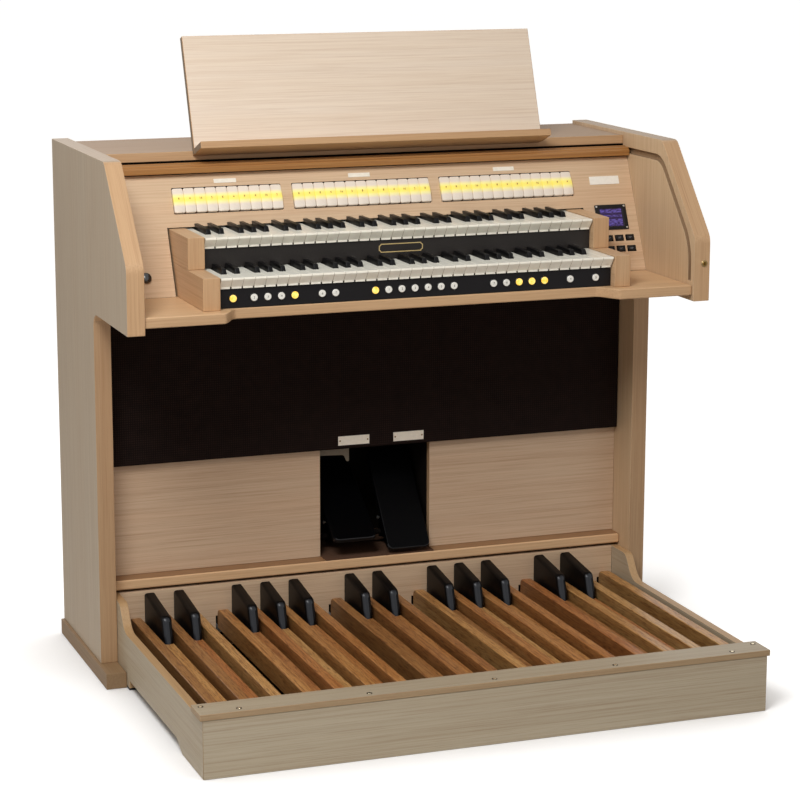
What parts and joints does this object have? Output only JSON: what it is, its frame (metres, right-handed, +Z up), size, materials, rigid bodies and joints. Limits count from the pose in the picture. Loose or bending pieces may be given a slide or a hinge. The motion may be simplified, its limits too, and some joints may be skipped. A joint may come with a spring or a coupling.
{
  "type": "church organ",
  "caption": "Two-manual church organ console in pale oak with roll-top, music desk, rocker stop tabs, thumb pistons, expression pedals and a full pedalboard.",
  "frame": {"origin": "on the floor, at the middle of the whole footprint: console and pedalboard together", "axes": "+Z up; the player sits on the -Y side, in front of the pedalboard, facing +Y; +X to the player's right, along the keyboards"},
  "size_m": [1.262, 0.997, 1.3204],
  "materials": {
    "oak_laminate": "pale oak laminate, satin",
    "oak_edge": "warmer oak edging, satin",
    "oiled_oak": "oiled solid oak",
    "grille_cloth": "dark loudspeaker cloth",
    "ivory_keys": "ivory key plastic, satin gloss",
    "black_lacquer": "black lacquered rail",
    "white_tabs": "white rocker tabs",
    "black_plastic": "black plastic",
    "dark_board": "dark stained board"
  },
  "bodies": {
    "console": {"side_panel_left": "oak_laminate", "side_panel_right": "oak_laminate", "top_board": "oak_laminate", "back_panel": "oak_laminate", "base_shelf": "oak_laminate", "kneeboard": "oak_laminate", "grille_panel": "grille_cloth", "key_desk": "oak_edge", "stop_panel": "oak_laminate", "key_block_left": "oak_edge", "key_block_right": "oak_edge", "lower_manual": "ivory_keys", "upper_manual": "ivory_keys", "upper_rail": "black_lacquer", "piston_rail": "black_lacquer", "stop_tabs": "white_tabs", "display_unit": "black_plastic", "expression_box": "dark_board", "pedal_cheek_left": "oak_laminate", "pedal_cheek_right": "oak_laminate", "toe_board": "oak_laminate", "heel_board": "oak_laminate", "heel_cap": "oak_laminate", "pedal_floor": "dark_board"},
    "roll_top": {"roll_top": "oak_edge"},
    "music_desk": {"music_desk": "oak_laminate"},
    "power_button": {"power_button": "black_plastic"},
    "middle_c_key": {"middle_c_key": "ivory_keys"},
    "expression_pedal_left": {"expression_pedal_left": "black_plastic"},
    "expression_pedal_right": {"expression_pedal_right": "black_plastic"},
    "pedal_01_c": {"pedal_01_c": "oiled_oak"},
    "pedal_02_c_sharp": {"pedal_02_c_sharp": "oiled_oak"},
    "pedal_03_d": {"pedal_03_d": "oiled_oak"},
    "pedal_04_d_sharp": {"pedal_04_d_sharp": "oiled_oak"},
    "pedal_05_e": {"pedal_05_e": "oiled_oak"},
    "pedal_06_f": {"pedal_06_f": "oiled_oak"},
    "pedal_07_f_sharp": {"pedal_07_f_sharp": "oiled_oak"},
    "pedal_08_g": {"pedal_08_g": "oiled_oak"},
    "pedal_09_g_sharp": {"pedal_09_g_sharp": "oiled_oak"},
    "pedal_10_a": {"pedal_10_a": "oiled_oak"},
    "pedal_11_a_sharp": {"pedal_11_a_sharp": "oiled_oak"},
    "pedal_12_b": {"pedal_12_b": "oiled_oak"},
    "pedal_13_c": {"pedal_13_c": "oiled_oak"},
    "pedal_14_c_sharp": {"pedal_14_c_sharp": "oiled_oak"},
    "pedal_15_d": {"pedal_15_d": "oiled_oak"},
    "pedal_16_d_sharp": {"pedal_16_d_sharp": "oiled_oak"},
    "pedal_17_e": {"pedal_17_e": "oiled_oak"},
    "pedal_18_f": {"pedal_18_f": "oiled_oak"},
    "pedal_19_f_sharp": {"pedal_19_f_sharp": "oiled_oak"},
    "pedal_20_g": {"pedal_20_g": "oiled_oak"},
    "pedal_21_g_sharp": {"pedal_21_g_sharp": "oiled_oak"},
    "pedal_22_a": {"pedal_22_a": "oiled_oak"},
    "pedal_23_a_sharp": {"pedal_23_a_sharp": "oiled_oak"},
    "pedal_24_b": {"pedal_24_b": "oiled_oak"},
    "pedal_25_c": {"pedal_25_c": "oiled_oak"},
    "pedal_26_c_sharp": {"pedal_26_c_sharp": "oiled_oak"},
    "pedal_27_d": {"pedal_27_d": "oiled_oak"},
    "pedal_28_d_sharp": {"pedal_28_d_sharp": "oiled_oak"},
    "pedal_29_e": {"pedal_29_e": "oiled_oak"},
    "pedal_30_f": {"pedal_30_f": "oiled_oak"}
  },
  "joints": [
    {"name": "pedal_01_c_hinge", "type": "hinge", "parent": "console", "child": "pedal_01_c", "pos_m": [-0.5376, -0.4585, 0.082], "axis": [-1, 0, 0], "range_deg": [0, 1.05], "stiffness_Nm_per_rad": 150, "springref_deg": -5},
    {"name": "pedal_02_c_sharp_hinge", "type": "hinge", "parent": "console", "child": "pedal_02_c_sharp", "pos_m": [-0.5057, -0.4585, 0.082], "axis": [-1, 0, 0], "range_deg": [0, 1.05], "stiffness_Nm_per_rad": 150, "springref_deg": -5},
    {"name": "pedal_03_d_hinge", "type": "hinge", "parent": "console", "child": "pedal_03_d", "pos_m": [-0.4738, -0.4585, 0.082], "axis": [-1, 0, 0], "range_deg": [0, 1.05], "stiffness_Nm_per_rad": 150, "springref_deg": -5},
    {"name": "pedal_04_d_sharp_hinge", "type": "hinge", "parent": "console", "child": "pedal_04_d_sharp", "pos_m": [-0.4419, -0.4585, 0.082], "axis": [-1, 0, 0], "range_deg": [0, 1.05], "stiffness_Nm_per_rad": 150, "springref_deg": -5},
    {"name": "pedal_05_e_hinge", "type": "hinge", "parent": "console", "child": "pedal_05_e", "pos_m": [-0.41, -0.4585, 0.082], "axis": [-1, 0, 0], "range_deg": [0, 1.05], "stiffness_Nm_per_rad": 150, "springref_deg": -5},
    {"name": "pedal_06_f_hinge", "type": "hinge", "parent": "console", "child": "pedal_06_f", "pos_m": [-0.3462, -0.4585, 0.082], "axis": [-1, 0, 0], "range_deg": [0, 1.05], "stiffness_Nm_per_rad": 150, "springref_deg": -5},
    {"name": "pedal_07_f_sharp_hinge", "type": "hinge", "parent": "console", "child": "pedal_07_f_sharp", "pos_m": [-0.3143, -0.4585, 0.082], "axis": [-1, 0, 0], "range_deg": [0, 1.05], "stiffness_Nm_per_rad": 150, "springref_deg": -5},
    {"name": "pedal_08_g_hinge", "type": "hinge", "parent": "console", "child": "pedal_08_g", "pos_m": [-0.2824, -0.4585, 0.082], "axis": [-1, 0, 0], "range_deg": [0, 1.05], "stiffness_Nm_per_rad": 150, "springref_deg": -5},
    {"name": "pedal_09_g_sharp_hinge", "type": "hinge", "parent": "console", "child": "pedal_09_g_sharp", "pos_m": [-0.2505, -0.4585, 0.082], "axis": [-1, 0, 0], "range_deg": [0, 1.05], "stiffness_Nm_per_rad": 150, "springref_deg": -5},
    {"name": "pedal_10_a_hinge", "type": "hinge", "parent": "console", "child": "pedal_10_a", "pos_m": [-0.2186, -0.4585, 0.082], "axis": [-1, 0, 0], "range_deg": [0, 1.05], "stiffness_Nm_per_rad": 150, "springref_deg": -5},
    {"name": "pedal_11_a_sharp_hinge", "type": "hinge", "parent": "console", "child": "pedal_11_a_sharp", "pos_m": [-0.1867, -0.4585, 0.082], "axis": [-1, 0, 0], "range_deg": [0, 1.05], "stiffness_Nm_per_rad": 150, "springref_deg": -5},
    {"name": "pedal_12_b_hinge", "type": "hinge", "parent": "console", "child": "pedal_12_b", "pos_m": [-0.1548, -0.4585, 0.082], "axis": [-1, 0, 0], "range_deg": [0, 1.05], "stiffness_Nm_per_rad": 150, "springref_deg": -5},
    {"name": "pedal_13_c_hinge", "type": "hinge", "parent": "console", "child": "pedal_13_c", "pos_m": [-0.091, -0.4585, 0.082], "axis": [-1, 0, 0], "range_deg": [0, 1.05], "stiffness_Nm_per_rad": 150, "springref_deg": -5},
    {"name": "pedal_14_c_sharp_hinge", "type": "hinge", "parent": "console", "child": "pedal_14_c_sharp", "pos_m": [-0.0591, -0.4585, 0.082], "axis": [-1, 0, 0], "range_deg": [0, 1.05], "stiffness_Nm_per_rad": 150, "springref_deg": -5},
    {"name": "pedal_15_d_hinge", "type": "hinge", "parent": "console", "child": "pedal_15_d", "pos_m": [-0.0272, -0.4585, 0.082], "axis": [-1, 0, 0], "range_deg": [0, 1.05], "stiffness_Nm_per_rad": 150, "springref_deg": -5},
    {"name": "pedal_16_d_sharp_hinge", "type": "hinge", "parent": "console", "child": "pedal_16_d_sharp", "pos_m": [0.0047, -0.4585, 0.082], "axis": [-1, 0, 0], "range_deg": [0, 1.05], "stiffness_Nm_per_rad": 150, "springref_deg": -5},
    {"name": "pedal_17_e_hinge", "type": "hinge", "parent": "console", "child": "pedal_17_e", "pos_m": [0.0366, -0.4585, 0.082], "axis": [-1, 0, 0], "range_deg": [0, 1.05], "stiffness_Nm_per_rad": 150, "springref_deg": -5},
    {"name": "pedal_18_f_hinge", "type": "hinge", "parent": "console", "child": "pedal_18_f", "pos_m": [0.1004, -0.4585, 0.082], "axis": [-1, 0, 0], "range_deg": [0, 1.05], "stiffness_Nm_per_rad": 150, "springref_deg": -5},
    {"name": "pedal_19_f_sharp_hinge", "type": "hinge", "parent": "console", "child": "pedal_19_f_sharp", "pos_m": [0.1323, -0.4585, 0.082], "axis": [-1, 0, 0], "range_deg": [0, 1.05], "stiffness_Nm_per_rad": 150, "springref_deg": -5},
    {"name": "pedal_20_g_hinge", "type": "hinge", "parent": "console", "child": "pedal_20_g", "pos_m": [0.1642, -0.4585, 0.082], "axis": [-1, 0, 0], "range_deg": [0, 1.05], "stiffness_Nm_per_rad": 150, "springref_deg": -5},
    {"name": "pedal_21_g_sharp_hinge", "type": "hinge", "parent": "console", "child": "pedal_21_g_sharp", "pos_m": [0.1961, -0.4585, 0.082], "axis": [-1, 0, 0], "range_deg": [0, 1.05], "stiffness_Nm_per_rad": 150, "springref_deg": -5},
    {"name": "pedal_22_a_hinge", "type": "hinge", "parent": "console", "child": "pedal_22_a", "pos_m": [0.228, -0.4585, 0.082], "axis": [-1, 0, 0], "range_deg": [0, 1.05], "stiffness_Nm_per_rad": 150, "springref_deg": -5},
    {"name": "pedal_23_a_sharp_hinge", "type": "hinge", "parent": "console", "child": "pedal_23_a_sharp", "pos_m": [0.2599, -0.4585, 0.082], "axis": [-1, 0, 0], "range_deg": [0, 1.05], "stiffness_Nm_per_rad": 150, "springref_deg": -5},
    {"name": "pedal_24_b_hinge", "type": "hinge", "parent": "console", "child": "pedal_24_b", "pos_m": [0.2918, -0.4585, 0.082], "axis": [-1, 0, 0], "range_deg": [0, 1.05], "stiffness_Nm_per_rad": 150, "springref_deg": -5},
    {"name": "pedal_25_c_hinge", "type": "hinge", "parent": "console", "child": "pedal_25_c", "pos_m": [0.3556, -0.4585, 0.082], "axis": [-1, 0, 0], "range_deg": [0, 1.05], "stiffness_Nm_per_rad": 150, "springref_deg": -5},
    {"name": "pedal_26_c_sharp_hinge", "type": "hinge", "parent": "console", "child": "pedal_26_c_sharp", "pos_m": [0.3875, -0.4585, 0.082], "axis": [-1, 0, 0], "range_deg": [0, 1.05], "stiffness_Nm_per_rad": 150, "springref_deg": -5},
    {"name": "pedal_27_d_hinge", "type": "hinge", "parent": "console", "child": "pedal_27_d", "pos_m": [0.4194, -0.4585, 0.082], "axis": [-1, 0, 0], "range_deg": [0, 1.05], "stiffness_Nm_per_rad": 150, "springref_deg": -5},
    {"name": "pedal_28_d_sharp_hinge", "type": "hinge", "parent": "console", "child": "pedal_28_d_sharp", "pos_m": [0.4513, -0.4585, 0.082], "axis": [-1, 0, 0], "range_deg": [0, 1.05], "stiffness_Nm_per_rad": 150, "springref_deg": -5},
    {"name": "pedal_29_e_hinge", "type": "hinge", "parent": "console", "child": "pedal_29_e", "pos_m": [0.4832, -0.4585, 0.082], "axis": [-1, 0, 0], "range_deg": [0, 1.05], "stiffness_Nm_per_rad": 150, "springref_deg": -5},
    {"name": "pedal_30_f_hinge", "type": "hinge", "parent": "console", "child": "pedal_30_f", "pos_m": [0.547, -0.4585, 0.082], "axis": [-1, 0, 0], "range_deg": [0, 1.05], "stiffness_Nm_per_rad": 150, "springref_deg": -5},
    {"name": "expression_left_swing", "type": "hinge", "parent": "console", "child": "expression_pedal_left", "pos_m": [-0.0431, 0.2975, 0.223], "axis": [-1, 0, 0], "range_deg": [-18, 0]},
    {"name": "expression_right_swing", "type": "hinge", "parent": "console", "child": "expression_pedal_right", "pos_m": [0.0815, 0.2975, 0.223], "axis": [-1, 0, 0], "range_deg": [0, 18]},
    {"name": "roll_top_slide", "type": "slide", "parent": "console", "child": "roll_top", "axis": [0, -1, 0], "range_m": [0, 0.095]},
    {"name": "music_desk_lift", "type": "slide", "parent": "console", "child": "music_desk", "axis": [0, 0, 1], "range_m": [0, 0.05]},
    {"name": "power_button_press", "type": "slide", "parent": "console", "child": "power_button", "axis": [0, 0.9096, -0.4154], "range_m": [0, 0.003], "stiffness_N_per_m": 400, "springref_m": -0.003},
    {"name": "middle_c_key_hinge", "type": "hinge", "parent": "console", "child": "middle_c_key", "pos_m": [-0.08225, 0.0686, 0.86725], "axis": [1, 0, 0], "range_deg": [0, 3.6], "stiffness_Nm_per_rad": 0.8, "springref_deg": -9.45}
  ]
}
